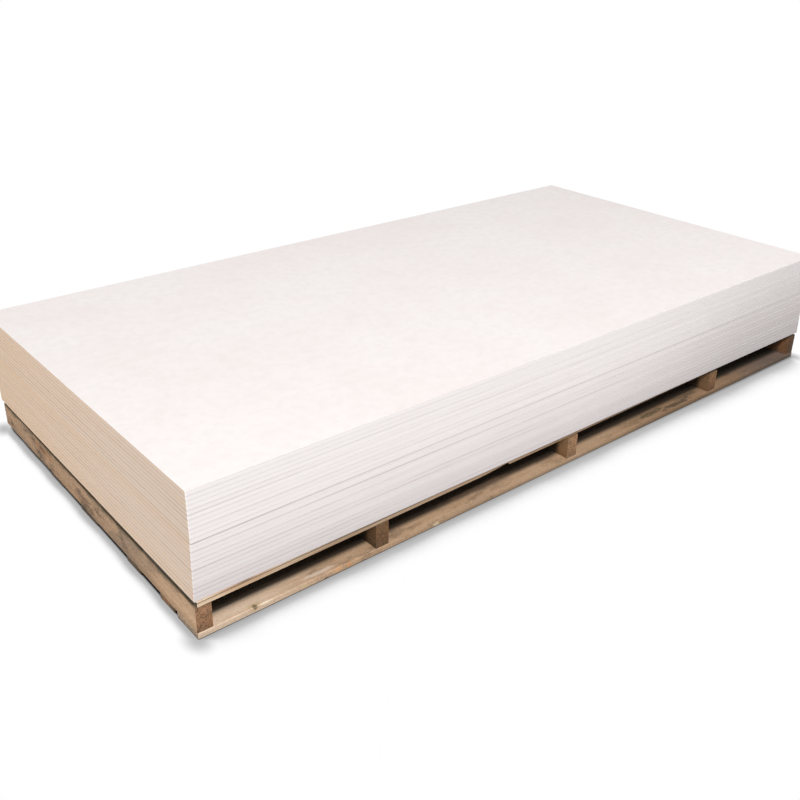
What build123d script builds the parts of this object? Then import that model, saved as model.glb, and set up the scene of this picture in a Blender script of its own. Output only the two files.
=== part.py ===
"""A stack of fire-resistant building boards on the full-length timber pallet that carries it.

Sizes are in millimetres. The origin is on the floor under the middle of the pallet,
+X runs along the boards' length, +Y across their width and +Z is up.
The front is the long side at -Y, and the corner shown nearest in the photograph is at -X, -Y.
"""

import os
from math import asin, atan2, cos, degrees, sin

from build123d import *

# The boards: square-edged sheets, laid face to face
board_length = 2440
board_width = 1220
board_thickness = 12
board_count = 24
board_corner = 2.5  # radius worn on a sheet's four corners
board_arris = 0.6  # bevel worn along the edges of a sheet's two faces

# The pallet is made to the sheet, a touch longer and wider
pallet_spare_length = 10
pallet_spare_width = 2
pallet_length = board_length + pallet_spare_length
pallet_width = board_width + pallet_spare_width

# Where the middle of the top sheet lies, from the middle of the pallet
stack_offset_along = -4
stack_offset_across = -4

# How far out of line with the top one a sheet lies at most: its slips and its turn
slip_along = 3
slip_across = 4
sheet_turn = -0.28  # degrees about +Z

# Each sheet's share of those, from the lowest sheet to the top one. The lower half of the
# stack is turned a little, and its uppermost sheet lies back from the one above it.
slip_along_shares = (
    1.0, 0.96, 0.98, 0.9, 0.93, 0.87, 0.9, 0.84, 0.86, 0.8, 0.82, 0.76,
    0.8, 0.45, 0.5, 0.42, 0.45, 0.36, 0.4, 0.3, 0.32, 0.2, 0.12, 0.0,
)
slip_across_shares = (
    0.3, 0.34, 0.3, 0.36, 0.4, 0.46, 0.44, 0.52, 0.56, 0.62, 0.68, 0.74,
    0.85, 0.4, 0.43, 0.36, 0.38, 0.3, 0.33, 0.24, 0.26, 0.16, 0.1, 0.0,
)
turn_shares = (
    1.0, 0.95, 0.89, 0.83, 0.77, 0.71, 0.64, 0.58, 0.51, 0.44, 0.38, 0.31,
    0.25, 0.0, 0.02, 0.0, 0.03, 0.02, 0.04, 0.02, 0.03, 0.01, 0.02, 0.0,
)

# Bearers across the pallet, on edge
stringer_width = 40
stringer_height = 70
stringer_set_back = 1.5  # of their ends, from the planks' long edges
stringer_arris = 1.2
end_stringer_lead = 11  # how much further in the first bearer's far end lies than its near end

# Middles of the bearers between the two end ones, as shares of the pallet's length from -X
middle_stringer_shares = (0.213, 0.504, 0.792)

# Wide thin planks along the pallet's top, under the boards
top_plank_thickness = 13
top_plank_gap = 20
top_plank_set_back = 4  # of the sawn ends, behind the end bearers' outer faces
top_plank_arris = 0.8

# Each top plank's share of the width that the gaps leave, from -Y, and how far its +X end
# strays towards +Y, as a share of the gap
top_plank_width_shares = (0.2245, 0.2255, 0.2365, 0.3135)
top_plank_stray_shares = (0.5, 0.1, 0.25, 0.0)

# A splinter torn off the lower front edge of the first top plank, tapering to nothing at its
# -X end. Its ends are shares of the pallet's length, its tip a share of its own length.
splinter_depth = 12
splinter_height = 8
splinter_start_share = 0.336
splinter_end_share = 0.395
splinter_tip_share = 0.96
splinter_waist_share = 0.6

# Narrower, thicker planks along the pallet's underside
bottom_plank_thickness = 17
bottom_plank_arris = 1.5

# Near edge and width of each bottom plank, as shares of the pallet's width from -Y
bottom_plank_edge_shares = (0.0, 0.095, 0.240, 0.453, 0.642, 0.798, 0.922)
bottom_plank_width_shares = (0.079, 0.056, 0.060, 0.084, 0.075, 0.078, 0.078)

# How far each bottom plank's ends lie in from the end bearers' outer faces, as shares of a
# bearer's width; the last one was sawn short at -X
bottom_plank_start_shares = (0.01, 0.03, 0.05, 0.08, 0.12, 0.2, 0.75)
bottom_plank_end_shares = (0.02, 0.1, 0.04, 0.07, 0.15, 0.03, 0.05)

# Levels, from the floor up
stringer_base = bottom_plank_thickness
top_plank_base = stringer_base + stringer_height
stack_base = top_plank_base + top_plank_thickness

# The pallet's own corners and its end bearer's slant
pallet_left = -pallet_length / 2
pallet_right = pallet_length / 2
pallet_near = -pallet_width / 2
stringer_length = pallet_width - 2 * stringer_set_back
end_stringer_turn = -degrees(atan2(end_stringer_lead, stringer_length))


def left_end(across):
    """X of the first bearer's outer face, at a distance across the pallet from its near edge."""
    return pallet_left + end_stringer_lead * across / pallet_width


def make_board(base, along, across, turn):
    """One sheet with worn corners and bevels, slipped and turned in its own layer."""
    with BuildPart() as board:
        with BuildSketch(Plane.XY.offset(base)):
            with Locations((along, across)):
                Rectangle(board_length, board_width, rotation=turn)
        extrude(amount=board_thickness)
        fillet(board.edges().filter_by(Axis.Z), radius=board_corner)
        chamfer(board.faces().filter_by(Axis.Z).edges(), length=board_arris)
    return board.part


def make_stringer(middle, turn):
    """A bearer across the pallet, on edge, its four long corners eased."""
    with BuildPart() as bearer:
        with BuildSketch(Plane.XY.offset(stringer_base)):
            with Locations((middle, 0)):
                Rectangle(stringer_width, stringer_length, rotation=turn)
        extrude(amount=stringer_height)
        chamfer(bearer.edges().sort_by(SortBy.LENGTH)[-4:], length=stringer_arris)
    return bearer.part


def make_splinter(plank_base):
    """The splinter torn from the lower front edge of the plank that lies on that plane."""
    start = splinter_start_share * pallet_length
    end = splinter_end_share * pallet_length
    tip = start + splinter_tip_share * (end - start)
    waist = start + splinter_waist_share * (end - start)
    waist_height = (1 - splinter_waist_share) * splinter_height
    front = Plane(origin=plank_base.origin, x_dir=plank_base.x_dir, z_dir=-plank_base.y_dir)
    with BuildPart() as splinter:
        with BuildSketch(front):
            with BuildLine():
                Polyline(
                    (start, -top_plank_arris),
                    (end, -top_plank_arris),
                    (end, 0),
                    (tip, splinter_height),
                    (waist, waist_height),
                    (start, -top_plank_arris),
                )
            make_face()
        extrude(amount=splinter_depth, both=True)
    return splinter.part


def make_plank(base, thickness, near_edge, width, ends, arris, stray=0, splintered=False):
    """A sawn plank along the pallet, its long corners eased and its +X end strayed to +Y."""
    start, end = ends
    length = end - start
    swing = asin(stray / length)
    plank_base = Plane(
        origin=(start, pallet_near + near_edge, base),
        x_dir=(cos(swing), sin(swing), 0),
        z_dir=(0, 0, 1),
    )
    missing = make_splinter(plank_base) if splintered else None
    with BuildPart() as plank:
        with BuildSketch(plank_base):
            Rectangle(length, width, align=(Align.MIN, Align.MIN))
        extrude(amount=thickness)
        chamfer(plank.edges().sort_by(SortBy.LENGTH)[-4:], length=arris)
        if splintered:
            add(missing, mode=Mode.SUBTRACT)
    return plank.part


def save(solid, name):
    """Label a finished piece and write it under its own name."""
    solid.label = name
    export_step(solid, f"parts/{name}.step")


os.makedirs("parts", exist_ok=True)

# Bearers, from -X to +X; only the first stands out of square
end_stringer_middle = left_end(pallet_width / 2) + stringer_width / 2
save(make_stringer(end_stringer_middle, end_stringer_turn), "stringer_1")
for number, share in enumerate(middle_stringer_shares, start=2):
    save(make_stringer(pallet_left + share * pallet_length, 0), f"stringer_{number}")
save(make_stringer(pallet_right - stringer_width / 2, 0), f"stringer_{number + 1}")

# Top planks, from -Y to +Y, a gap between each two
top_plank_total = pallet_width - (len(top_plank_width_shares) - 1) * top_plank_gap
near_edge = 0
top_planks = zip(top_plank_width_shares, top_plank_stray_shares)
for number, (width_share, stray_share) in enumerate(top_planks, start=1):
    width = width_share * top_plank_total
    start = left_end(near_edge + width / 2) + top_plank_set_back
    plank = make_plank(
        top_plank_base,
        top_plank_thickness,
        near_edge,
        width,
        (start, pallet_right - top_plank_set_back),
        top_plank_arris,
        stray=stray_share * top_plank_gap,
        splintered=number == 1,
    )
    save(plank, f"top_plank_{number}")
    near_edge += width + top_plank_gap

# Bottom planks, from -Y to +Y, sawn to unlike lengths
bottom_planks = zip(
    bottom_plank_edge_shares,
    bottom_plank_width_shares,
    bottom_plank_start_shares,
    bottom_plank_end_shares,
)
for number, (edge_share, width_share, start_share, end_share) in enumerate(bottom_planks, start=1):
    near_edge = edge_share * pallet_width
    width = width_share * pallet_width
    start = left_end(near_edge + width / 2) + start_share * stringer_width
    end = pallet_right - end_share * stringer_width
    plank = make_plank(0, bottom_plank_thickness, near_edge, width, (start, end), bottom_plank_arris)
    save(plank, f"bottom_plank_{number}")

# Boards, from the lowest to the top one; the shares repeat if there are more sheets
for layer in range(board_count):
    entry = layer % len(turn_shares)
    sheet = make_board(
        stack_base + layer * board_thickness,
        stack_offset_along + slip_along * slip_along_shares[entry],
        stack_offset_across + slip_across * slip_across_shares[entry],
        sheet_turn * turn_shares[entry],
    )
    save(sheet, f"board_{layer + 1:02d}")
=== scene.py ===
"""The finish, light and camera for a stack of fire-resistant boards on its timber pallet.

Lengths are in metres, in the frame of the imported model: the origin is on the floor under the
middle of the pallet, +X runs along the boards, +Y across them and +Z is up. The front is the
long side at -Y, and the corner nearest to the camera is at -X, -Y.
"""

import math

import bpy
from mathutils import Matrix, Vector


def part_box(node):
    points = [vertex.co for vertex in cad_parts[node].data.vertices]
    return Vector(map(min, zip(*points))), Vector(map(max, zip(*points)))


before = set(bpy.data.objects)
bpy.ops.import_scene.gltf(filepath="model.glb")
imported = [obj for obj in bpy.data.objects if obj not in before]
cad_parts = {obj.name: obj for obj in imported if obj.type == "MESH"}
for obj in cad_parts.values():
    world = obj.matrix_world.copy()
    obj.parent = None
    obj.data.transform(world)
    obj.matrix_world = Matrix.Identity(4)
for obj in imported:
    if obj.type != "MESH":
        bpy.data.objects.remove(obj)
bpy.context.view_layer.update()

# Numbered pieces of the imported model, in the order of their numbers
BOARDS = sorted(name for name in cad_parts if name.startswith("board_"))
STRINGERS = sorted(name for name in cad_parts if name.startswith("stringer_"))
TOP_PLANKS = sorted(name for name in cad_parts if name.startswith("top_plank_"))
BOTTOM_PLANKS = sorted(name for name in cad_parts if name.startswith("bottom_plank_"))

# Levels and places read from the model; the origin is under the middle of the pallet
STACK_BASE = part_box(BOARDS[0])[0].z
STACK_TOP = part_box(BOARDS[-1])[1].z
BOARD_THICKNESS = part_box(BOARDS[0])[1].z - STACK_BASE
PALLET_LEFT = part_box(STRINGERS[0])[0].x
PALLET_RIGHT = -PALLET_LEFT
PALLET_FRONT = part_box(BOTTOM_PLANKS[0])[0].y
PALLET_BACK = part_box(BOTTOM_PLANKS[-1])[1].y
STRINGER_MIDDLES = [(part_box(name)[0].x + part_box(name)[1].x) / 2 for name in STRINGERS]

# The camera of the photograph: its place, its aim in degrees and its lens
CAMERA_PLACE = (-1.94648, -2.15330, 1.45474)
CAMERA_AZIMUTH = 39.69  # of its aim, from +Y towards +X
CAMERA_DIP = 25.54
CAMERA_ROLL = 0.746
CAMERA_LENS = 43.005  # mm, on a sensor of the width below
CAMERA_SENSOR = 36.0
CAMERA_SHIFT = (0.0048, -0.0368)

# Light: an even sky, a large soft key lamp high in front of the stack and a weak one low at its
# left, both turned to one point in the stack
SKY_STRENGTH = 0.40
LAMP_AIM = (-0.10, -0.10, 0.30)
KEY_PLACE = (-1.54, -5.68, 7.21)
KEY_SIDE = 1.6
KEY_POWER = 594.0
FILL_PLACE = (-6.0, 0.4, 1.0)
FILL_SIDE = 2.0
FILL_POWER = 108.0

# The floor, and the part of it that gives almost no light: the X where that sets in and where it
# is full, its depth in front of the pallet at two places along X, and the width of its soft rim
FLOOR_SIDE = 120.0
FLOOR_WHITE = 0.50
DARK_START = (0.00, 0.50)
DARK_DEPTH = (0.05, 1.60)
DARK_DEPTH_AT = (0.55, 1.35)
DARK_RIM = 0.18
DARK_SHARE = 0.95

# The soft shadow that the camera sees on the floor: its reach from the long sides, at -X and at
# +X, from the ends and from the corners, and its tone next to the pallet and at the corners
SHADOW_REACH_FRONT = (0.140, 0.175)
SHADOW_REACH_END = 0.045
SHADOW_REACH_CORNER = 0.067
SHADOW_SKY = (0.58, 0.87)  # share of open sky where the shadow is full and where it ends
UNDER_SKY = (0.28, 0.50)  # the same of the dark close under a piece
SHADOW_TONE = 0.47
CORNER_TONE = 0.52
CORNER_STRETCH = 1.4  # how much shorter the corner's shadow is along X than across
UNDER_TONE = 0.02  # of the floor under the pallet
SHADE_LEAN = 0.0155  # how much further in the dark under the first bearer starts at the back
FOOT_LINE = 0.014  # half width of the dark line at the foot of the pallet's long side
FOOT_LINE_SHARE = (0.15, 0.48)  # of dark in that line, at the two places along X below
FOOT_LINE_AT = (0.3, 1.1)


def rgba(colour):
    """A colour of three numbers, opaque."""
    return (*colour, 1.0)


class Tree:
    """A node tree under construction. A socket, a number or a tuple can feed any input."""

    def __init__(self, tree):
        self.tree = tree

    def add(self, kind, feeds=None, **settings):
        node = self.tree.nodes.new(kind)
        for name, value in settings.items():
            setattr(node, name, value)
        for name, value in (feeds or {}).items():
            self.feed(node.inputs[name], value)
        return node

    def feed(self, socket, value):
        if isinstance(value, bpy.types.NodeSocket):
            self.tree.links.new(value, socket)
        else:
            socket.default_value = value

    def math(self, operation, first, second=0.0, clamp=False):
        feeds = {0: first, 1: second}
        return self.add("ShaderNodeMath", feeds, operation=operation, use_clamp=clamp).outputs[0]

    def fold(self, operation, *values):
        """One value from several: the operation on the first two, then on that and the next."""
        result = values[0]
        for value in values[1:]:
            result = self.math(operation, result, value)
        return result

    def scaled(self, value, factor, offset=0.0):
        feeds = {0: value, 1: factor, 2: offset}
        return self.add("ShaderNodeMath", feeds, operation="MULTIPLY_ADD").outputs[0]

    def apart(self, first, second):
        """How far two values lie from each other."""
        return self.math("ABSOLUTE", self.math("SUBTRACT", first, second))

    def vector(self, operation, first, second=(0.0, 0.0, 0.0)):
        feeds = {0: first, 1: second}
        output = "Value" if operation in ("DOT_PRODUCT", "LENGTH", "DISTANCE") else "Vector"
        return self.add("ShaderNodeVectorMath", feeds, operation=operation).outputs[output]

    def stretched(self, place, x, y, z):
        """A place for a pattern that is drawn out where a factor is under 1, closer where over."""
        return self.vector("MULTIPLY", place, (x, y, z))

    def split(self, vector):
        return self.add("ShaderNodeSeparateXYZ", {"Vector": vector}).outputs

    def join(self, x, y, z):
        return self.add("ShaderNodeCombineXYZ", {"X": x, "Y": y, "Z": z}).outputs[0]

    def grey(self, value):
        return self.join(value, value, value)

    def mix(self, share, first, second, blend="MIX"):
        """The first colour, with a share of the second one blended into it."""
        node = self.add("ShaderNodeMix", data_type="RGBA", blend_type=blend)
        self.feed(node.inputs[0], share)
        self.feed(node.inputs[6], first)
        self.feed(node.inputs[7], second)
        return node.outputs[2]

    def stain(self, under, colour, *shares):
        """What lies under, with a plain colour over it by the product of the shares."""
        return self.mix(self.fold("MULTIPLY", *shares), under, rgba(colour))

    def ramp(self, value, low, high, start=0.0, end=1.0, smooth=True):
        """Start where the value is at low, end where it is at high, eased between them."""
        feeds = {"Value": value, "From Min": low, "From Max": high, "To Min": start, "To Max": end}
        kind = "SMOOTHSTEP" if smooth else "LINEAR"
        return self.add("ShaderNodeMapRange", feeds, interpolation_type=kind, clamp=True).outputs[0]

    def fall(self, value, low, high):
        """1 where the value is at low or less, 0 where it is at high or more."""
        return self.ramp(value, low, high, 1.0, 0.0)

    def noise(self, place, scale, detail=3.0, roughness=0.5):
        feeds = {"Vector": place, "Scale": scale, "Detail": detail, "Roughness": roughness}
        return self.add("ShaderNodeTexNoise", feeds).outputs["Fac"]

    def random(self, value):
        """One random number from 0 to 1 for each value."""
        return self.add("ShaderNodeTexWhiteNoise", {"W": value}, noise_dimensions="1D").outputs[0]

    def bump(self, height, strength, distance):
        feeds = {"Height": height, "Strength": strength, "Distance": distance}
        return self.add("ShaderNodeBump", feeds).outputs[0]


def empty_tree(owner):
    """The emptied node tree of a material or a world."""
    owner.use_nodes = True
    owner.node_tree.nodes.clear()
    return Tree(owner.node_tree)


def make_group(name, inputs, outputs, body):
    """A node group with named sockets; body(tree, inputs) returns what feeds each output."""
    group = bpy.data.node_groups.new(name, "ShaderNodeTree")
    for socket, kind in inputs.items():
        group.interface.new_socket(socket, in_out="INPUT", socket_type=f"NodeSocket{kind}")
    for socket, kind in outputs.items():
        group.interface.new_socket(socket, in_out="OUTPUT", socket_type=f"NodeSocket{kind}")
    tree = Tree(group)
    entry = tree.add("NodeGroupInput")
    made = body(tree, entry.outputs)
    tree.add("NodeGroupOutput", made)
    return group


def use_group(tree, group, feeds, label=""):
    """The outputs of a group placed in a material with its own values."""
    return tree.add("ShaderNodeGroup", feeds, node_tree=group, label=label).outputs


# The joint where the lower lot of sheets ends, counted from the lowest sheet's upper face, and
# the start and factor of the squares whose fractions give each joint its own strength
STRONG_JOINT = 13.0
JOINT_SPREAD = (2.5, 0.7182)

# The timber's patterns: the width of a ring and how far a slow noise bends it, the saw's wave in
# radians to the metre, how far in from the pallet's rim the painted shade of its dark middle sets
# in and is full, and the radius at which a nail's head and its rust are full and gone
RING_WIDTH = 0.0052
RING_BEND = 0.055
SAW_RIDGES = 1500.0
INNER_SHADE_RIM = (0.028, 0.050)
NAIL_RIM = (0.0038, 0.0044)
RUST_REACH = (0.004, 0.013)


def timber_grain_body(tree, inputs):
    """Yearly rings round a heart that runs along X, wavering with the stem.

    The distance from the heart, bent by a slow noise and divided by the ring's width, gives
    the ring. Its fraction darkens slowly and ends sharply, as summer wood does.
    """
    x, y, z = tree.split(inputs["Vector"])[:]
    seed = inputs["Seed"]
    drift = tree.join(tree.scaled(x, 1.3, seed), tree.scaled(y, 5.0), tree.scaled(z, 5.0))
    bend = tree.noise(drift, 1.0, detail=2.0)
    heart = inputs["Heart"]
    away = tree.vector("LENGTH", tree.vector("SUBTRACT", tree.join(0.0, y, z), heart))
    bent = tree.math("ADD", away, tree.scaled(bend, RING_BEND))
    ring = tree.math("DIVIDE", bent, inputs["Ring Width"])
    part = tree.math("FRACT", ring)
    rise = tree.ramp(part, 0.30, 0.88)
    fall = tree.fall(part, 0.90, 1.0)
    year = tree.random(tree.math("ADD", tree.math("FLOOR", ring), seed))
    late = tree.math("MULTIPLY", tree.math("MULTIPLY", rise, fall), tree.scaled(year, 0.6, 0.4))
    along = tree.join(tree.scaled(x, 0.035, seed), y, z)
    fibre = tree.noise(along, 620.0, detail=3.0, roughness=0.65)
    streak = tree.noise(along, 70.0, detail=3.0, roughness=0.55)
    return {"Late Wood": late, "Fibre": fibre, "Streak": streak}


def knots_body(tree, inputs):
    """Knots scattered in the timber: ellipsoids round the points of a cell pattern."""
    stretched = tree.stretched(inputs["Vector"], 2.6, 9.0, 9.0)
    placed = tree.vector("ADD", stretched, tree.join(inputs["Seed"], inputs["Seed"], 0.0))
    cells = tree.add("ShaderNodeTexVoronoi", {"Vector": placed, "Scale": 1.0}).outputs
    wobble = tree.noise(placed, 9.0, detail=2.0)
    reach = tree.math("ADD", cells["Distance"], tree.scaled(wobble, 0.05, -0.025))
    core = tree.fall(reach, 0.11, 0.14)
    halo = tree.fall(reach, 0.12, 0.30)
    return {"Core": core, "Halo": halo}


def mark_body(tree, inputs):
    """A single knot, stain or chip: how far a point lies inside a stretched, ragged ball."""
    away = tree.vector("SUBTRACT", inputs["Vector"], inputs["Centre"])
    shaped = tree.vector("DIVIDE", away, inputs["Size"])
    drawn = tree.stretched(inputs["Vector"], 0.22, 1.0, 1.0)
    ragged = tree.noise(drawn, 170.0, detail=3.0, roughness=0.6)
    wander = tree.math("MULTIPLY", tree.scaled(ragged, 2.0, -1.0), inputs["Raggedness"])
    reach = tree.math("ADD", tree.vector("LENGTH", shaped), wander)
    return {"Mask": tree.fall(reach, 0.50, 1.05)}


def weather_body(tree, inputs):
    """Greying and grime in patches drawn out along the grain."""
    drawn = tree.stretched(inputs["Vector"], 0.35, 1.0, 1.0)
    placed = tree.vector("ADD", drawn, tree.join(inputs["Seed"], 0.0, inputs["Seed"]))
    broad = tree.noise(placed, 9.0, detail=4.0, roughness=0.6)
    close = tree.noise(placed, 26.0, detail=6.0, roughness=0.75)
    specks = tree.noise(inputs["Vector"], 170.0, detail=4.0, roughness=0.7)
    return {
        "Grey": tree.ramp(broad, 0.42, 0.66),
        "Grime": tree.ramp(close, 0.50, 0.66),
        "Specks": tree.ramp(specks, 0.44, 0.62),
    }


def saw_marks_body(tree, inputs):
    """Ridges left by the saw: an uneven wave along the cut."""
    parts = tree.split(inputs["Vector"])
    slow = tree.noise(inputs["Vector"], 4.0, detail=2.0)
    phase = tree.math("ADD", tree.scaled(parts["X"], SAW_RIDGES), tree.scaled(slow, 26.0))
    wave = tree.math("SINE", tree.math("ADD", phase, tree.scaled(parts["Z"], 120.0)))
    patch = tree.ramp(tree.noise(inputs["Vector"], 11.0, detail=2.0), 0.40, 0.62)
    return {"Height": tree.math("MULTIPLY", wave, patch)}


def distances_in(tree, parts):
    """How far a point lies in from the pallet's left, front, right and back sides."""
    return (
        tree.scaled(parts["X"], 1.0, -PALLET_LEFT),
        tree.scaled(parts["Y"], 1.0, -PALLET_FRONT),
        tree.scaled(parts["X"], -1.0, PALLET_RIGHT),
        tree.scaled(parts["Y"], -1.0, PALLET_BACK),
    )


def inner_shade_body(tree, inputs):
    """How far the timber lies in the pallet's middle, where shade is painted on it: 0 along its
    rim.
    """
    rim = tree.fold("MINIMUM", *distances_in(tree, tree.split(inputs["Vector"])))
    return {"Inner Shade": tree.ramp(rim, *INNER_SHADE_RIM)}


def nail_heads_body(tree, inputs):
    """Round nail heads over each bearer, a row near each long edge of the plank."""
    parts = tree.split(inputs["Vector"])
    rows = (inputs["First Row"], inputs["Second Row"])
    along = tree.fold("MINIMUM", *(tree.apart(parts["X"], middle) for middle in STRINGER_MIDDLES))
    across = tree.fold("MINIMUM", *(tree.apart(parts["Y"], row) for row in rows))
    radius = tree.vector("LENGTH", tree.join(along, across, 0.0))
    return {"Head": tree.fall(radius, *NAIL_RIM), "Rust": tree.fall(radius, *RUST_REACH)}


def sheet_number_body(tree, inputs):
    """Which sheet of the stack a point belongs to, and how near it is to a joint.

    A joint's share of the strongest line is the fraction of (number + start) squared x factor.
    """
    z = tree.split(inputs["Vector"])["Z"]
    level = tree.math("DIVIDE", tree.math("SUBTRACT", z, STACK_BASE), BOARD_THICKNESS)
    kept = tree.math("MINIMUM", tree.math("MAXIMUM", level, 0.0), len(BOARDS) - 0.5)
    nearest = tree.math("ROUND", level)
    start, factor = JOINT_SPREAD
    square = tree.math("POWER", tree.scaled(nearest, 1.0, start), 2.0)
    return {
        "Sheet": tree.math("FLOOR", kept),
        "Joint": nearest,
        "Joint Share": tree.math("FRACT", tree.scaled(square, factor)),
        "From Joint": tree.math("MULTIPLY", tree.apart(level, nearest), BOARD_THICKNESS),
    }


GRAIN = make_group(
    "timber grain",
    {"Vector": "Vector", "Heart": "Vector", "Ring Width": "Float", "Seed": "Float"},
    {"Late Wood": "Float", "Fibre": "Float", "Streak": "Float"},
    timber_grain_body,
)
KNOTS = make_group(
    "scattered knots",
    {"Vector": "Vector", "Seed": "Float"},
    {"Core": "Float", "Halo": "Float"},
    knots_body,
)
MARK = make_group(
    "single mark",
    {"Vector": "Vector", "Centre": "Vector", "Size": "Vector", "Raggedness": "Float"},
    {"Mask": "Float"},
    mark_body,
)
WEATHER = make_group(
    "weathering",
    {"Vector": "Vector", "Seed": "Float"},
    {"Grey": "Float", "Grime": "Float", "Specks": "Float"},
    weather_body,
)
SAW_MARKS = make_group("saw marks", {"Vector": "Vector"}, {"Height": "Float"}, saw_marks_body)
INNER_SHADE = make_group("painted inner shade", {"Vector": "Vector"}, {"Inner Shade": "Float"}, inner_shade_body)
NAIL_HEADS = make_group(
    "nail heads",
    {"Vector": "Vector", "First Row": "Float", "Second Row": "Float"},
    {"Head": "Float", "Rust": "Float"},
    nail_heads_body,
)
SHEET_NUMBER = make_group(
    "sheet number",
    {"Vector": "Vector"},
    {"Sheet": "Float", "Joint": "Float", "Joint Share": "Float", "From Joint": "Float"},
    sheet_number_body,
)


# Board and timber alike are dull. How straight a surface must face a way to count as a face, an
# end, a sawn end of timber or a nailed face: where it sets in and where it is full.
DULL_SPECULAR = 0.30
FACE_TILT = (0.85, 0.95)
END_TILT = (0.50, 0.62)
SAWN_TILT = (0.80, 0.95)
NAILED_TILT = (0.90, 0.98)


def new_material(name):
    """An empty material with its shader, as a tree and that shader's node."""
    material = bpy.data.materials.new(name)
    tree = empty_tree(material)
    shader = tree.add("ShaderNodeBsdfPrincipled")
    shader.inputs["Specular IOR Level"].default_value = DULL_SPECULAR
    tree.add("ShaderNodeOutputMaterial", {"Surface": shader.outputs[0]})
    return material, tree, shader


# The boards: a warm white face, whiter long edges and tan sawn ends, and the grey and tan of
# painted shade on the faces below the stack's top
FACE_WHITE = (0.930, 0.880, 0.862)
FACE_PINK = (0.915, 0.838, 0.818)
FACE_GREY = (0.800, 0.740, 0.710)
EDGE_WHITE = (0.955, 0.906, 0.893)
EDGE_PINK = (0.900, 0.830, 0.822)
END_TAN = (0.725, 0.600, 0.505)
END_PEACH = (0.745, 0.540, 0.374)
JOINT_BROWN = (0.380, 0.240, 0.155)
JOINT_GREY = (0.590, 0.500, 0.505)
LEDGE_SHADE_GREY = (0.560, 0.495, 0.485)
LEDGE_SHADE_TAN = (0.500, 0.385, 0.290)
FELT_SHARE = 0.10  # of grey in the felt of a face
MOTTLE_SHARE = 0.24  # of grey in its mottle
LOW_EDGE_SHADE = 0.23  # share of painted shade on the long side at the foot of the stack
UP_BEVEL_SHADE = 0.50  # share of the joints' tone painted as shade on the bevels that face up
END_LEDGE = (1.195, 1.205)  # from the middle, where the painted shade on a bare rim of a face turns from grey to tan
LEDGE_LEVELS = (0.002, 0.001)  # below the stack's top, where a face counts as laid on and as bare

# A joint's line: how far from the joint it is full and where it ends, and for the long edges and
# the ends what the joint's own share adds, what each has at least and what the strong one adds
JOINT_LINE = (0.0004, 0.0028)
EDGE_JOINTS = (0.34, 0.18, 0.40)
END_JOINTS = (0.34, 0.16, 0.25)

BOARD_BUMP = (0.35, 0.0004)  # strength and height
BOARD_ROUGHNESS = (0.72, 0.92)

# The boards' patterns, their scale in features to the metre
CLOUDS = {"scale": 2.6, "detail": 5.0, "roughness": 0.62}
BLOTCHES = {"scale": 24.0, "detail": 5.0, "roughness": 0.7}
MOTTLE = {"scale": 34.0, "detail": 5.0, "roughness": 0.75}
FELT = {"scale": 260.0, "detail": 4.0, "roughness": 0.7}
STREAKS = {"scale": 260.0, "detail": 3.0, "roughness": 0.6}
PATCHES = {"scale": 7.0, "detail": 3.0}
GRIT = {"scale": 900.0, "detail": 3.0, "roughness": 0.7}
TEETH = {"scale": 1100.0, "detail": 2.0}


def board_face(tree, place, blotches, felt):
    """A pressed face: white clouded with pink and mottled grey, its bare rim in painted shade when
    laid on.
    """
    x, _, z = tree.split(place)[:]
    clouds = tree.ramp(tree.noise(place, **CLOUDS), 0.38, 0.66, 0.0, 0.75)
    blush = tree.math("ADD", clouds, tree.scaled(blotches, 1.0, -0.45), clamp=True)
    face = tree.stain(rgba(FACE_WHITE), FACE_PINK, blush)
    face = tree.stain(face, FACE_GREY, tree.ramp(felt, 0.55, 0.80, 0.0, FELT_SHARE))
    mottle = tree.ramp(tree.noise(place, **MOTTLE), 0.42, 0.64, 0.0, MOTTLE_SHARE)
    face = tree.stain(face, FACE_GREY, mottle)
    near_end = tree.ramp(tree.math("ABSOLUTE", x), *END_LEDGE)
    # Painted shade on every face below the stack's top: grey, and tan near the ends
    ledge_shade = tree.stain(rgba(LEDGE_SHADE_GREY), LEDGE_SHADE_TAN, near_end)
    laid_on = tree.fall(z, *(STACK_TOP - depth for depth in LEDGE_LEVELS))
    return tree.mix(laid_on, face, ledge_shade)


def board_edge(tree, place, sheet, streaks):
    """A fine-sawn long edge: white to pink by sheet, streaked and patchy, in painted shade low
    down.
    """
    x, _, z = tree.split(place)[:]
    own = tree.scaled(tree.random(sheet["Sheet"]), 0.55)
    lower_lot = tree.math("LESS_THAN", sheet["Sheet"], STRONG_JOINT - 0.5)
    tone = tree.math("ADD", own, tree.scaled(lower_lot, 0.40, -0.10))
    flush = tree.math("ADD", tone, tree.scaled(streaks, 0.6, -0.25))
    patches = tree.scaled(tree.noise(place, **PATCHES), 0.5, -0.25)
    flush = tree.math("ADD", flush, patches, clamp=True)
    edge = tree.stain(rgba(EDGE_WHITE), EDGE_PINK, flush)
    # Painted shade: darker towards the foot of the stack, and reaching higher towards +X
    drop = tree.ramp(z, STACK_BASE, STACK_TOP, 1.0, 0.0, smooth=False)
    shade_power = tree.ramp(x, -0.1, 1.0, 4.0, 1.6)
    low_shade = tree.scaled(tree.math("POWER", drop, shade_power), -LOW_EDGE_SHADE, 1.0)
    return tree.mix(1.0, edge, tree.grey(low_shade), blend="MULTIPLY")


def board_end(tree, place, sheet, streaks):
    """A sawn end: tan to peach by sheet, streaked, and warmer towards the back."""
    hue = tree.random(tree.math("ADD", sheet["Sheet"], 40.5))
    warm = tree.math("ADD", tree.scaled(hue, 0.4, 0.15), tree.scaled(streaks, 0.6, -0.25))
    backward = tree.ramp(tree.split(place)["Y"], -0.5, 0.6, -0.1, 0.3)
    return tree.stain(rgba(END_TAN), END_PEACH, tree.math("ADD", warm, backward, clamp=True))


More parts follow.
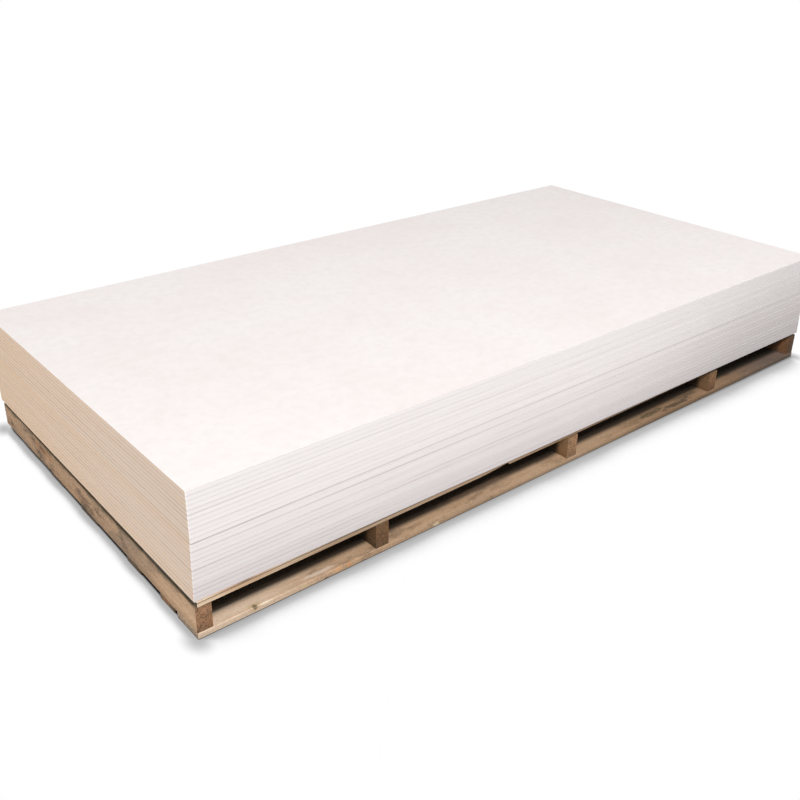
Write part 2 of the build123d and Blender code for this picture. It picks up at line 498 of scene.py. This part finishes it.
def joint_strengths(tree, place, sheet, upward):
    """How strongly a joint's line shows on the long edges, and how strongly on the ends.

    Each joint has its own strength, uneven along the stack and less to the right. The painted
    shade on bevels that face up is the least that shows.
    """
    strong = tree.math("COMPARE", sheet["Joint"], STRONG_JOINT)
    low_joint = tree.math("LESS_THAN", sheet["Joint"], STRONG_JOINT - 0.5)
    shift = tree.math("MULTIPLY", sheet["Joint"], 3.7)
    stretched = tree.stretched(place, 2.2, 2.6, 0.0)
    closeness = tree.noise(tree.vector("ADD", stretched, tree.join(shift, 0.0, shift)), 1.0)
    rightward = tree.ramp(tree.split(place)["X"], -1.2, 0.6, 1.0, 0.5, smooth=False)
    uneven = tree.math("MULTIPLY", tree.ramp(closeness, 0.32, 0.68, 0.35, 1.15), rightward)
    # Painted shade on the bevels that face up, where the key lamp falls
    bevel_shade = tree.math("MULTIPLY", tree.ramp(upward, 0.30, 0.60, 0.0, UP_BEVEL_SHADE), uneven)
    by_lot = tree.math("MULTIPLY", uneven, tree.scaled(low_joint, 0.95, 0.95))
    strengths = []
    for (spread, least, extra), spots in ((EDGE_JOINTS, by_lot), (END_JOINTS, uneven)):
        bite = tree.math("MULTIPLY", tree.scaled(sheet["Joint Share"], spread, least), spots)
        bite = tree.math("ADD", bite, tree.scaled(strong, extra), clamp=True)
        strengths.append(tree.math("MAXIMUM", bite, bevel_shade))
    return strengths


def make_board_finish():
    """Pressed mineral board: felted faces, fine-sawn edges, faint lines where sheets meet."""
    material, tree, shader = new_material("board")
    place = tree.add("ShaderNodeTexCoord").outputs["Object"]
    normal = tree.split(tree.add("ShaderNodeNewGeometry").outputs["True Normal"])
    on_face = tree.ramp(tree.math("ABSOLUTE", normal["Z"]), *FACE_TILT)
    lengthwise = tree.math("ABSOLUTE", normal["X"])
    endwise = tree.math("SUBTRACT", lengthwise, tree.math("ABSOLUTE", normal["Y"]))
    on_end = tree.ramp(endwise, *END_TILT)
    sheet = use_group(tree, SHEET_NUMBER, {"Vector": place})
    blotches = tree.noise(place, **BLOTCHES)
    felt = tree.noise(tree.stretched(place, 0.12, 1.0, 1.0), **FELT)
    streaks = tree.noise(tree.stretched(place, 0.02, 0.02, 1.0), **STREAKS)

    line = tree.fall(sheet["From Joint"], *JOINT_LINE)
    on_edges, on_ends = joint_strengths(tree, place, sheet, normal["Z"])
    edge = board_edge(tree, place, sheet, streaks)
    edge = tree.stain(edge, JOINT_GREY, line, on_edges)
    end = board_end(tree, place, sheet, streaks)
    end = tree.stain(end, JOINT_BROWN, line, on_ends)
    side = tree.mix(on_end, edge, end)
    face = board_face(tree, place, blotches, felt)
    tree.feed(shader.inputs["Base Color"], tree.mix(on_face, side, face))

    grit = tree.noise(place, **GRIT)
    teeth = tree.noise(tree.stretched(place, 1.0, 1.0, 0.08), **TEETH)
    sawn = tree.math("ADD", grit, teeth)
    relief = tree.add("ShaderNodeMix", {0: on_face, 2: sawn, 3: felt}).outputs[0]
    tree.feed(shader.inputs["Normal"], tree.bump(relief, *BOARD_BUMP))
    coarse = tree.math("ADD", grit, tree.scaled(blotches, 0.5))
    tree.feed(shader.inputs["Roughness"], tree.ramp(coarse, 0.4, 1.1, *BOARD_ROUGHNESS))
    return material


# Timber tones: pale wood, summer wood, sawn end, and how grey and how grimy it has become
PINE = ((0.520, 0.360, 0.225), (0.330, 0.195, 0.100), (0.075, 0.048, 0.030), 0.30, 0.45)
TIMBER = {
    "stringer_1": ((0.69, 0.465, 0.292), (0.39, 0.222, 0.115), (0.47, 0.245, 0.128), 0.90, 1.00),
    "stringer_2": ((0.30, 0.18, 0.09), (0.16, 0.085, 0.04), (0.24, 0.12, 0.05), 0.10, 0.60),
    "stringer_3": ((0.56, 0.34, 0.17), (0.36, 0.19, 0.08), (0.51, 0.28, 0.142), 0.10, 0.20),
    "stringer_4": ((0.47, 0.28, 0.15), (0.28, 0.145, 0.07), (0.40, 0.205, 0.098), 0.20, 0.45),
    "stringer_5": ((0.48, 0.24, 0.11), (0.30, 0.13, 0.055), (0.15, 0.072, 0.034), 0.10, 0.40),
    # The top planks' very dark sawn ends are partly painted shade, for the band under the boards'
    # overhang
    "top_plank_1": ((0.92, 0.72, 0.52), (0.68, 0.46, 0.29), (0.09, 0.07, 0.045), 0.10, 0.20),
    "top_plank_2": ((0.52, 0.36, 0.225), (0.33, 0.195, 0.10), (0.09, 0.07, 0.045), 0.30, 0.45),
    "top_plank_3": ((0.50, 0.34, 0.205), (0.31, 0.185, 0.095), (0.10, 0.07, 0.042), 0.30, 0.45),
    "top_plank_4": ((0.54, 0.37, 0.23), (0.34, 0.20, 0.105), (0.085, 0.068, 0.045), 0.35, 0.45),
    "bottom_plank_1": ((0.89, 0.70, 0.53), (0.64, 0.44, 0.29), (0.50, 0.37, 0.26), 0.20, 0.45),
}

AGED_TAN = (0.520, 0.310, 0.165)
AGED_BROWN = (0.250, 0.132, 0.062)
AGED_GREY = (0.142, 0.108, 0.101)

# How pieces darken along a direction: where each stretch starts and ends, the share of its tone
# from there on, and the tone
AGED = {
    "stringer_1": (
        (0.0, 1.0, 0.0),
        ((PALLET_FRONT + 0.02, PALLET_FRONT + 0.40, 0.35, AGED_BROWN),),
    ),
    "top_plank_1": (
        (1.0, 0.0, 0.0),
        (
            (-1.12, -0.85, 0.62, AGED_BROWN),
            (-0.50, -0.10, 0.40, AGED_BROWN),
            (0.30, 0.60, 0.40, AGED_BROWN),
        ),
    ),
    "bottom_plank_1": (
        (1.0, 0.0, 0.0),
        (
            (-1.12, -0.80, 0.70, AGED_TAN),
            (0.15, 0.48, 0.58, AGED_BROWN),
            (0.72, 1.12, 0.85, AGED_GREY),
        ),
    ),
}

WEATHERED_GREY = (0.305, 0.212, 0.142)
GRIME_BROWN = (0.102, 0.068, 0.041)
# The tone of the painted shade in the pallet's dark middle
INNER_SHADE_TONE = (0.030, 0.022, 0.015)
KNOT_BROWN = (0.150, 0.070, 0.032)
KNOT_ORANGE = (0.420, 0.190, 0.075)
# The tone of painted shade right under the boards' and the top planks' edges
UNDER_EDGE_SHADE = (0.110, 0.086, 0.052)
NAIL_STEEL = (0.230, 0.215, 0.205)
NAIL_RUST = (0.160, 0.060, 0.025)
NAIL_INSET = 0.022  # of a row of nails, from a plank's long edge

TIMBER_BUMP = (0.6, 0.0009)  # strength and height
TIMBER_ROUGHNESS = (0.66, 0.90)

# Shares of tone in the timber's own markings
LATE_WOOD_SHARE = 0.8
STREAK_SHARE = 0.35
FIBRE_SHARE = 0.22
KNOT_HALO_SHARE = 0.55
KNOT_CORE_SHARE = 0.85

# On the sawn ends: how light the rings and the specks are against the wood, the share of each,
# and the share of the specks' tone at the foot
RING_TONE = 0.55
RING_SHARE = 0.75
SPECK_TONE = 0.25
SPECK_SHARE = 0.78
FOOT_SHARE = 0.36

# The share of painted shade in the middle of the pallet and on the top planks there, of dirt where
# the bottom planks meet the floor, and how much of a piece's weathering its sheltered end still has
INNER_SHADE_SHARE = 0.95
DECK_SHADE_SHARE = 0.75
FLOOR_SPLASH = 0.54
SHELTERED_SHARE = 0.3
DUST_SHARE = (0.20, 0.25)  # of dust specks: what an open place adds, and what any place has
NAIL_RUST_SHARE = 0.6
NAIL_METALLIC = 0.8

# The splash on the bottom planks: the heights at which it is full and ends, the same for the line
# of painted shade at the floor and its share, and the share of grime rubbed into the upper bevels
SPLASH_HEIGHT = (0.002, 0.019)
CONTACT_SHADE = (0.0012, 0.0050)
CONTACT_SHADE_SHARE = 0.75
RUBBED_SHARE = 0.38

# The painted shadow on a top plank's upper corners, under the boards' edges: how far below its face
# it sets in and is full, and its share near the pallet's near corner and further right
CORNER_SHADE_DEPTHS = (0.0045, 0.0024)
CORNER_SHADE_SHARE = (0.65, 0.88)

# The darkening of a bearer: the height and share of the darker tone at its foot; the highest place
# of the ragged lower edge of the painted shade under the top planks, over its top, and how far the
# noise brings that edge down; where a painted shade line below its top sets in and is full; and
# their share
STRINGER_FOOT = 0.025
STRINGER_FOOT_SHARE = 0.25
RAGGED_TOP = 0.0135
RAGGEDNESS = 0.036
STRINGER_LINE = (0.0016, 0.0004)
STRINGER_SHADE_SHARE = 0.8

# Marks on the front bottom plank, in metres from the pallet's near corner: its place along
# the plank and across it, its height, its size three ways, its colour, how strong it is and
# how ragged its outline
FRONT_PLANK_MARKS = (
    ("knot halo", (0.148, 0.006, 0.016), (0.022, 0.014, 0.013), (0.56, 0.40, 0.21), 0.45, 0.4),
    ("notched knot", (0.148, 0.003, 0.016), (0.008, 0.009, 0.01), (0.15, 0.105, 0.055), 0.80, 0.4),
    ("knot scar", (0.178, 0.001, 0.016), (0.022, 0.004, 0.005), (0.90, 0.80, 0.62), 0.6, 0.6),
    ("sappy patch", (0.284, 0.00, 0.01), (0.012, 0.005, 0.006), (0.60, 0.50, 0.26), 0.5, 0.7),
    ("pale scar", (0.336, 0.014, 0.017), (0.06, 0.008, 0.01), (0.86, 0.74, 0.64), 0.5, 0.7),
    ("dark spot", (0.348, 0.00, 0.004), (0.008, 0.004, 0.004), (0.12, 0.08, 0.052), 0.6, 0.4),
    ("pale knot", (0.384, 0.001, 0.011), (0.014, 0.006, 0.007), (0.80, 0.44, 0.21), 0.6, 0.5),
    ("orange knot", (0.416, 0.001, 0.011), (0.009, 0.005, 0.006), (0.70, 0.32, 0.13), 0.7, 0.4),
    ("pale chip", (0.704, 0.00, 0.009), (0.015, 0.005, 0.006), (0.74, 0.60, 0.41), 0.6, 1.1),
    ("brown streak", (0.90, 0.05, 0.017), (0.16, 0.01, 0.012), (0.21, 0.135, 0.085), 0.6, 0.6),
    ("first stain", (1.64, 0.024, 0.016), (0.08, 0.012, 0.014), (0.09, 0.072, 0.038), 0.75, 1.2),
    ("second stain", (1.76, 0.014, 0.016), (0.09, 0.011, 0.014), (0.08, 0.06, 0.036), 0.75, 1.2),
    ("third stain", (1.84, 0.03, 0.016), (0.07, 0.01, 0.012), (0.10, 0.072, 0.044), 0.7, 1.2),
)


def heart_of(number, low, high, across):
    """Where the middle of the rings runs, beside or under a piece, by a formula of its number."""
    middle = (low + high) / 2
    side = middle.x if across else middle.y
    sway = math.sin(12.9898 * (number + 3) + (7.0 if across else 0.0))
    return (0.0, side + 0.05 * sway, middle.z - 0.07 + 0.03 * math.cos(5.0 * number))


def soil_and_shade_bottom_plank(tree, wood, x, z, upward):
    """Splashed grime, painted shade at the floor, and grime rubbed into upper bevels away from the
    corner.
    """
    splash = tree.ramp(x, -0.90, -0.25, 0.25 * FLOOR_SPLASH, FLOOR_SPLASH)
    splashed = tree.math("MULTIPLY", tree.fall(z, *SPLASH_HEIGHT), splash)
    # Painted shade: a dark line where the plank meets the floor
    shade_at_floor = tree.ramp(z, *CONTACT_SHADE, CONTACT_SHADE_SHARE, 0.0)
    wood = tree.stain(wood, GRIME_BROWN, tree.math("MAXIMUM", splashed, shade_at_floor))
    on_bevel = tree.math("MULTIPLY", tree.ramp(upward, 0.45, 0.60), tree.fall(upward, 0.80, 0.92))
    return tree.stain(wood, GRIME_BROWN, on_bevel, tree.ramp(x, -0.85, -0.45, 0.0, RUBBED_SHARE))


def shade_top_plank_corners(tree, wood, x, z, upward, top):
    """Painted shadow on the upper corners, right under the boards' edges."""
    share = tree.ramp(x, -1.0, -0.6, *CORNER_SHADE_SHARE)
    painted_shade = tree.ramp(z, *(top - depth for depth in CORNER_SHADE_DEPTHS), 0.0, share)
    return tree.stain(wood, UNDER_EDGE_SHADE, painted_shade, tree.fall(upward, 0.80, 0.95))


def darken_stringer(tree, wood, along, y, z, low, high):
    """Darker at a bearer's foot, and painted shade with a ragged lower edge under the top planks.
    """
    foot = tree.ramp(z, low.z, low.z + STRINGER_FOOT, STRINGER_FOOT_SHARE, 0.0)
    wood = tree.stain(wood, GRIME_BROWN, foot)
    # Painted shade under the top planks, deeper further back, and a line of it in the crease below
    # the top
    ragged = tree.noise(tree.stretched(along, 0.5, 1.0, 1.0), 45.0, detail=5.0)
    lowest = tree.scaled(ragged, -RAGGEDNESS, high.z + RAGGED_TOP)
    painted_shade = tree.ramp(tree.math("SUBTRACT", z, lowest), -0.005, 0.006)
    backward = tree.ramp(y, PALLET_FRONT, PALLET_FRONT + 0.05, 0.4, 1.0)
    at_top = tree.ramp(z, *(high.z - depth for depth in STRINGER_LINE))
    painted_shade = tree.math("MAXIMUM", tree.math("MULTIPLY", painted_shade, backward), at_top)
    return tree.stain(wood, UNDER_EDGE_SHADE, painted_shade, STRINGER_SHADE_SHARE)


def add_marks(tree, wood, place, marks):
    """Single marks over the wood, each a ragged ball at its own place."""
    corner = Vector((PALLET_LEFT, PALLET_FRONT, 0.0))
    for mark, centre, size, colour, strength, raggedness in marks:
        feeds = {
            "Vector": place,
            "Centre": Vector(centre) + corner,
            "Size": size,
            "Raggedness": raggedness,
        }
        mask = use_group(tree, MARK, feeds, label=mark)["Mask"]
        wood = tree.stain(wood, colour, mask, strength)
    return wood


def add_nails(tree, shader, wood, place, upward, low, high):
    """Flush steel heads with rust round them, on the faces of a plank."""
    rows = {"First Row": low.y + NAIL_INSET, "Second Row": high.y - NAIL_INSET}
    nails = use_group(tree, NAIL_HEADS, {"Vector": place, **rows})
    flat = tree.ramp(tree.math("ABSOLUTE", upward), *NAILED_TILT)
    wood = tree.stain(wood, NAIL_RUST, nails["Rust"], flat, NAIL_RUST_SHARE)
    head = tree.math("MULTIPLY", nails["Head"], flat)
    tree.feed(shader.inputs["Metallic"], tree.math("MULTIPLY", head, NAIL_METALLIC))
    return tree.stain(wood, NAIL_STEEL, head)


def make_timber_finish(name, number, across=False, marks=()):
    """Sawn pallet timber for one piece, its grain along X, or along Y for a bearer.

    Each piece has its own heart, which lies beside or under it, so that its sides show
    straight or cathedral grain and its ends show the arcs of the same rings. A piece that has
    single marks has no scattered knots.
    """
    pale, summer, sawn_end, grey, grime = TIMBER.get(name, PINE)
    low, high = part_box(name)
    material, tree, shader = new_material(name + " timber")
    place = tree.add("ShaderNodeTexCoord").outputs["Object"]
    normal = tree.split(tree.add("ShaderNodeNewGeometry").outputs["True Normal"])
    x, y, z = tree.split(place)[:]
    along = tree.join(y, x, z) if across else place
    on_end = tree.ramp(tree.math("ABSOLUTE", normal["Y" if across else "X"]), *SAWN_TILT)
    seeded = {"Vector": along, "Seed": 3.7 * number + (50.0 if across else 0.0)}
    rings = {"Heart": heart_of(number, low, high, across), "Ring Width": RING_WIDTH}
    grain = use_group(tree, GRAIN, {**seeded, **rings})
    weather = use_group(tree, WEATHER, seeded)

    wood = tree.stain(rgba(pale), summer, grain["Late Wood"], LATE_WOOD_SHARE)
    wood = tree.stain(wood, summer, tree.ramp(grain["Streak"], 0.35, 0.70, 0.0, STREAK_SHARE))
    wood = tree.stain(wood, GRIME_BROWN, tree.ramp(grain["Fibre"], 0.45, 0.75, 0.0, FIBRE_SHARE))
    ring_tone = tuple(RING_TONE * part for part in sawn_end)
    speck_tone = tuple(SPECK_TONE * part for part in sawn_end)
    end = tree.stain(rgba(sawn_end), ring_tone, grain["Late Wood"], RING_SHARE)
    end = tree.stain(end, speck_tone, weather["Specks"], SPECK_SHARE)
    end = tree.stain(end, speck_tone, tree.ramp(z, low.z, high.z, FOOT_SHARE, 0.0))
    wood = tree.mix(on_end, wood, end)

    exposed = 1.0
    if name in AGED:
        direction, stretches = AGED[name]
        distance = tree.vector("DOT_PRODUCT", place, direction)
        for start, stop, share, tone in stretches:
            wood = tree.stain(wood, tone, tree.ramp(distance, start, stop, 0.0, share))
        exposed = tree.ramp(distance, *stretches[0][:2])
    open_share = tree.scaled(exposed, 1.0 - SHELTERED_SHARE, SHELTERED_SHARE)
    wood = tree.stain(wood, WEATHERED_GREY, weather["Grey"], open_share, grey)
    if not marks:
        knots = use_group(tree, KNOTS, seeded)
        wood = tree.stain(wood, KNOT_ORANGE, knots["Halo"], KNOT_HALO_SHARE)
        wood = tree.stain(wood, KNOT_BROWN, knots["Core"], KNOT_CORE_SHARE)
    wood = tree.stain(wood, GRIME_BROWN, weather["Grime"], open_share, grime)
    dust = tree.scaled(exposed, *DUST_SHARE)
    wood = tree.stain(wood, GRIME_BROWN, weather["Specks"], dust, grime)

    # Painted shade darkens the timber in the pallet's middle, all but the bottom planks' undersides
    shade_inside = use_group(tree, INNER_SHADE, {"Vector": place})["Inner Shade"]
    if name in BOTTOM_PLANKS:
        shade_inside = tree.math("MULTIPLY", shade_inside, tree.ramp(normal["Z"], -0.9, -0.6))
        wood = soil_and_shade_bottom_plank(tree, wood, x, z, normal["Z"])
    painted_shade = DECK_SHADE_SHARE if name in TOP_PLANKS else INNER_SHADE_SHARE
    wood = tree.stain(wood, INNER_SHADE_TONE, shade_inside, painted_shade)
    if name in TOP_PLANKS:
        wood = shade_top_plank_corners(tree, wood, x, z, normal["Z"], high.z)
    if across:
        wood = darken_stringer(tree, wood, along, y, z, low, high)
    wood = add_marks(tree, wood, place, marks)
    if not across:
        wood = add_nails(tree, shader, wood, place, normal["Z"], low, high)
    tree.feed(shader.inputs["Base Color"], wood)

    saw = use_group(tree, SAW_MARKS, {"Vector": along})["Height"]
    late = tree.scaled(grain["Late Wood"], 0.35)
    height = tree.math("ADD", tree.scaled(grain["Fibre"], 0.9), late)
    height = tree.math("ADD", height, tree.scaled(saw, 0.25))
    if not marks:
        height = tree.math("SUBTRACT", height, tree.scaled(knots["Core"], 0.5))
    tree.feed(shader.inputs["Normal"], tree.bump(height, *TIMBER_BUMP))
    tree.feed(shader.inputs["Roughness"], tree.ramp(grain["Fibre"], 0.3, 0.7, *TIMBER_ROUGHNESS))
    return material


def dress(name, material):
    """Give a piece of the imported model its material."""
    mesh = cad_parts[name].data
    mesh.materials.clear()
    mesh.materials.append(material)


board_finish = make_board_finish()
for name in BOARDS:
    dress(name, board_finish)
for number, name in enumerate(STRINGERS, start=1):
    dress(name, make_timber_finish(name, number, across=True))
for number, name in enumerate(TOP_PLANKS, start=1):
    dress(name, make_timber_finish(name, number + 10))
for number, name in enumerate(BOTTOM_PLANKS, start=1):
    marks = FRONT_PLANK_MARKS if number == 1 else ()
    dress(name, make_timber_finish(name, number + 20, marks=marks))


def seen_directly(tree):
    """1 for what the camera sees, directly, mirrored or through glass, and 0 for light."""
    path = tree.add("ShaderNodeLightPath").outputs
    rays = ("Is Camera Ray", "Is Glossy Ray", "Is Transmission Ray")
    return tree.fold("MAXIMUM", *(path[ray] for ray in rays))


def floor_shade(tree, parts):
    """The floor as the camera sees it: white, with a soft shadow round the pallet, dark under it.

    The share of open sky over a point, from ambient occlusion, is eased into the shadow's tone.
    The corners are rounded off, and a thin line darkens the foot of the pallet's long side.
    """
    x, y, _ = parts[:]
    left_in, front_in, right_in, back_in = distances_in(tree, parts)
    past_end = tree.math("SUBTRACT", tree.math("ABSOLUTE", x), PALLET_RIGHT)
    beside = tree.ramp(x, PALLET_LEFT, PALLET_RIGHT, *SHADOW_REACH_FRONT, smooth=False)
    reach = tree.ramp(past_end, -0.04, 0.01, beside, SHADOW_REACH_END)
    occlusion = tree.add("ShaderNodeAmbientOcclusion", {"Distance": reach}, samples=16)
    open_share = occlusion.outputs["AO"]
    under = tree.ramp(open_share, *UNDER_SKY)

    across = tree.apart(y, (PALLET_FRONT + PALLET_BACK) / 2)
    past_side = tree.scaled(across, 1.0, -(PALLET_BACK - PALLET_FRONT) / 2)
    from_corner = tree.join(tree.scaled(past_end, CORNER_STRETCH), past_side, 0.0)
    from_corner = tree.vector("LENGTH", from_corner)
    round_corner = tree.ramp(from_corner, 0.005, SHADOW_REACH_CORNER, CORNER_TONE, 1.0)
    outside = tree.ramp(open_share, *SHADOW_SKY, SHADOW_TONE, 1.0)
    outside = tree.math("MINIMUM", outside, round_corner)

    lean = tree.ramp(y, PALLET_FRONT, PALLET_BACK, 0.0, SHADE_LEAN, smooth=False)
    left_in = tree.math("SUBTRACT", left_in, lean)
    inward = tree.fold("MINIMUM", left_in, front_in, right_in, back_in)
    hidden = tree.ramp(inward, 0.0, 0.006, 1.0, UNDER_TONE)
    at_foot = tree.fold(
        "MULTIPLY",
        tree.fall(tree.math("ABSOLUTE", front_in), 0.0, FOOT_LINE),
        tree.ramp(x, *FOOT_LINE_AT, *FOOT_LINE_SHARE),
        tree.ramp(right_in, -0.01, 0.01),
        tree.ramp(left_in, 0.0, 0.02),
    )
    return tree.fold("MULTIPLY", outside, under, hidden, tree.scaled(at_foot, -1.0, 1.0))


def floor_glow(tree, parts):
    """How light the floor is to the pieces: dark in front of the stack's right half."""
    x, y, _ = parts[:]
    ahead = tree.scaled(y, -1.0, PALLET_FRONT)
    depth = tree.ramp(x, *DARK_DEPTH_AT, *DARK_DEPTH)
    dark = tree.fold(
        "MULTIPLY",
        tree.fall(ahead, depth, tree.math("ADD", depth, DARK_RIM)),
        tree.ramp(ahead, -0.05, 0.0),
        tree.ramp(x, *DARK_START),
    )
    return tree.scaled(dark, -DARK_SHARE * FLOOR_WHITE, FLOOR_WHITE)


def make_floor():
    """A white floor that lights the pieces from below and keeps a soft shadow round them."""
    half = FLOOR_SIDE / 2
    mesh = bpy.data.meshes.new("floor")
    corners = [(-half, -half, 0), (half, -half, 0), (half, half, 0), (-half, half, 0)]
    mesh.from_pydata(corners, [], [(0, 1, 2, 3)])
    floor = bpy.data.objects.new("floor", mesh)
    bpy.context.scene.collection.objects.link(floor)

    material = bpy.data.materials.new("white floor")
    tree = empty_tree(material)
    parts = tree.split(tree.add("ShaderNodeTexCoord").outputs["Object"])
    shade = tree.grey(floor_shade(tree, parts))
    glow = tree.grey(floor_glow(tree, parts))
    shown = tree.add("ShaderNodeEmission", {"Color": shade, "Strength": 1.0}).outputs[0]
    lit = tree.add("ShaderNodeBsdfDiffuse", {"Color": glow}).outputs[0]
    surface = tree.add("ShaderNodeMixShader", {0: seen_directly(tree), 1: lit, 2: shown})
    tree.add("ShaderNodeOutputMaterial", {"Surface": surface.outputs[0]})
    mesh.materials.append(material)


def make_sky():
    """Even studio light from all round, with white behind everything that the camera sees."""
    world = bpy.data.worlds.new("studio")
    bpy.context.scene.world = world
    tree = empty_tree(world)
    white = rgba((1.0, 1.0, 1.0))
    light = tree.add("ShaderNodeBackground", {"Color": white, "Strength": SKY_STRENGTH}).outputs[0]
    seen = tree.add("ShaderNodeBackground", {"Color": white, "Strength": 1.0}).outputs[0]
    both = tree.add("ShaderNodeMixShader", {0: seen_directly(tree), 1: light, 2: seen})
    tree.add("ShaderNodeOutputWorld", {"Surface": both.outputs[0]})


def make_lamp(name, place, side, power):
    """A square soft lamp, turned to the lamps' point in the stack."""
    lamp = bpy.data.lights.new(name, "AREA")
    lamp.shape = "SQUARE"
    lamp.size = side
    lamp.energy = power
    holder = bpy.data.objects.new(name, lamp)
    bpy.context.scene.collection.objects.link(holder)
    holder.location = place
    holder.rotation_mode = "QUATERNION"
    holder.rotation_quaternion = (Vector(LAMP_AIM) - Vector(place)).to_track_quat("-Z", "Y")


def make_camera():
    """The photograph's camera, from its place, aim, roll and lens."""
    azimuth = math.radians(CAMERA_AZIMUTH)
    dip = math.radians(CAMERA_DIP)
    roll = math.radians(CAMERA_ROLL)
    aim = Vector(
        (
            math.sin(azimuth) * math.cos(dip),
            math.cos(azimuth) * math.cos(dip),
            -math.sin(dip),
        )
    )
    level = Vector((math.cos(azimuth), -math.sin(azimuth), 0.0))
    down = aim.cross(level)
    right = math.cos(roll) * level - math.sin(roll) * down
    below = math.sin(roll) * level + math.cos(roll) * down
    camera_data = bpy.data.cameras.new("camera")
    camera_data.lens = CAMERA_LENS
    camera_data.sensor_width = CAMERA_SENSOR
    camera_data.shift_x, camera_data.shift_y = CAMERA_SHIFT
    camera = bpy.data.objects.new("camera", camera_data)
    bpy.context.scene.collection.objects.link(camera)
    turn = Matrix((right, -below, -aim)).transposed().to_4x4()
    camera.matrix_world = Matrix.Translation(CAMERA_PLACE) @ turn
    bpy.context.scene.camera = camera


make_floor()
make_sky()
make_lamp("key", KEY_PLACE, KEY_SIDE, KEY_POWER)
make_lamp("fill", FILL_PLACE, FILL_SIDE, FILL_POWER)
make_camera()
bpy.context.scene.view_settings.view_transform = "Standard"
